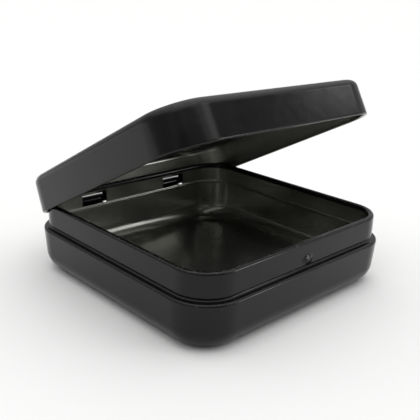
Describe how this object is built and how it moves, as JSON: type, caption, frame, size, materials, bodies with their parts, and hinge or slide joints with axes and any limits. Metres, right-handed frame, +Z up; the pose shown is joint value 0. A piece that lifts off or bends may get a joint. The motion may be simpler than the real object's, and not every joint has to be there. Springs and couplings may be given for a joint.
{
  "type": "hinged tin compact box",
  "caption": "Small square hinged sheet-metal slip-lid box, black lacquered, lid standing part open, empty inside.",
  "frame": {"origin": "centre of the flat underside of the tray", "axes": "+Z up out of the tray, -Y towards the latch side, +Y towards the hinge side, +X to the right seen from the latch side"},
  "size_m": [0.0622, 0.0648, 0.0472],
  "materials": {
    "black_lacquer_tray": "satin black lacquer outside, gloss black lacquer inside, on tinplate",
    "black_lacquer_lid": "satin black lacquer outside, gloss black lacquer inside, on tinplate",
    "bright_wire": "drawn bright steel wire"
  },
  "bodies": {
    "tray": {"base_tray": "black_lacquer_tray", "hinge_pin_left": "bright_wire", "hinge_pin_right": "bright_wire"},
    "lid": {"lid_shell": "black_lacquer_lid"}
  },
  "joints": [
    {"name": "lid_hinge", "type": "hinge", "parent": "tray", "child": "lid", "pos_m": [0, 0.0319, 0.0122], "axis": [-1, 0, 0], "range_deg": [-27.4, 77.6]}
  ]
}
